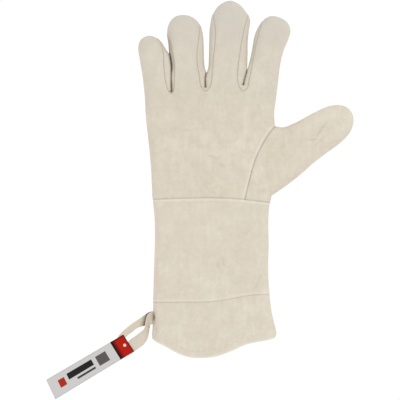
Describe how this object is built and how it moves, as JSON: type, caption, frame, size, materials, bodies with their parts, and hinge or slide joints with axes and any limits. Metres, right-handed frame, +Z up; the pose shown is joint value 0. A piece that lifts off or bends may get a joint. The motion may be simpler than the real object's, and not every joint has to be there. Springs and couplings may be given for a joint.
{
  "type": "heat resistant glove",
  "caption": "Long-cuffed split-leather heat resistant glove with bending fingers, a cotton lining and a hanging loop with a card tag.",
  "frame": {"origin": "on the surface that the glove lies on, under the middle of the object's box", "axes": "+Y towards the fingertips, +X towards the thumb, +Z up out of the back of the hand"},
  "size_m": [0.2854, 0.3695, 0.0173],
  "materials": {
    "split_leather": "suede",
    "cotton_lining": "brushed cotton",
    "sewing_thread": "twisted",
    "tag_card": "coated card",
    "tag_rivet": "satin"
  },
  "bodies": {
    "hand": {"hand_back": "split_leather", "hand_palm": "split_leather", "thumb_base_back": "split_leather", "thumb_base_palm": "split_leather", "crotch_fourchette_outer": "split_leather", "crotch_fourchette_middle": "split_leather", "crotch_fourchette_inner": "split_leather", "cuff_upper_back": "split_leather", "cuff_upper_palm": "split_leather", "cuff_lower_back": "split_leather", "cuff_lower_palm": "split_leather", "hand_lining": "cotton_lining", "cuff_lining": "cotton_lining", "hem_stitching": "sewing_thread", "loop_sewn_ends": "split_leather"},
    "little_finger": {"little_palm": "split_leather", "little_back": "split_leather", "little_fourchette_inner": "split_leather", "little_lining": "cotton_lining"},
    "ring_finger": {"ring_palm": "split_leather", "ring_back": "split_leather", "ring_fourchette_outer": "split_leather", "ring_fourchette_inner": "split_leather", "ring_lining": "cotton_lining"},
    "middle_finger": {"middle_palm": "split_leather", "middle_back": "split_leather", "middle_fourchette_outer": "split_leather", "middle_fourchette_inner": "split_leather", "middle_lining": "cotton_lining"},
    "index_finger": {"index_palm": "split_leather", "index_back": "split_leather", "index_fourchette_outer": "split_leather", "index_lining": "cotton_lining"},
    "thumb": {"thumb_palm": "split_leather", "thumb_back": "split_leather", "thumb_lining": "cotton_lining"},
    "loop": {"loop_strip": "split_leather"},
    "tag": {"tag_card": "tag_card", "tag_rivet": "tag_rivet"}
  },
  "joints": [
    {"name": "little_bend", "type": "hinge", "parent": "hand", "child": "little_finger", "pos_m": [-0.0396, 0.1125, 0.0075], "axis": [-0.9914, -0.1305, 0], "range_deg": [0, 75]},
    {"name": "ring_bend", "type": "hinge", "parent": "hand", "child": "ring_finger", "pos_m": [-0.0099, 0.1135, 0.0075], "axis": [-0.9962, -0.0872, 0], "range_deg": [0, 75]},
    {"name": "middle_bend", "type": "hinge", "parent": "hand", "child": "middle_finger", "pos_m": [0.0246, 0.1145, 0.0075], "axis": [-0.9986, 0.0523, 0], "range_deg": [0, 75]},
    {"name": "index_bend", "type": "hinge", "parent": "hand", "child": "index_finger", "pos_m": [0.058, 0.113, 0.0075], "axis": [-0.9833, 0.1822, 0], "range_deg": [0, 75]},
    {"name": "thumb_bend", "type": "hinge", "parent": "hand", "child": "thumb", "pos_m": [0.096, 0.052, 0.0075], "axis": [-0.5417, 0.8406, 0], "range_deg": [0, 60]},
    {"name": "loop_swing", "type": "hinge", "parent": "hand", "child": "loop", "pos_m": [-0.0452, -0.1097, 0.0062], "axis": [0, 1, 0], "range_deg": [-45, 80]},
    {"name": "tag_swing", "type": "hinge", "parent": "loop", "child": "tag", "pos_m": [-0.06987, -0.13472, 0.002], "axis": [0, 0, 1], "range_deg": [-35, 35]}
  ]
}
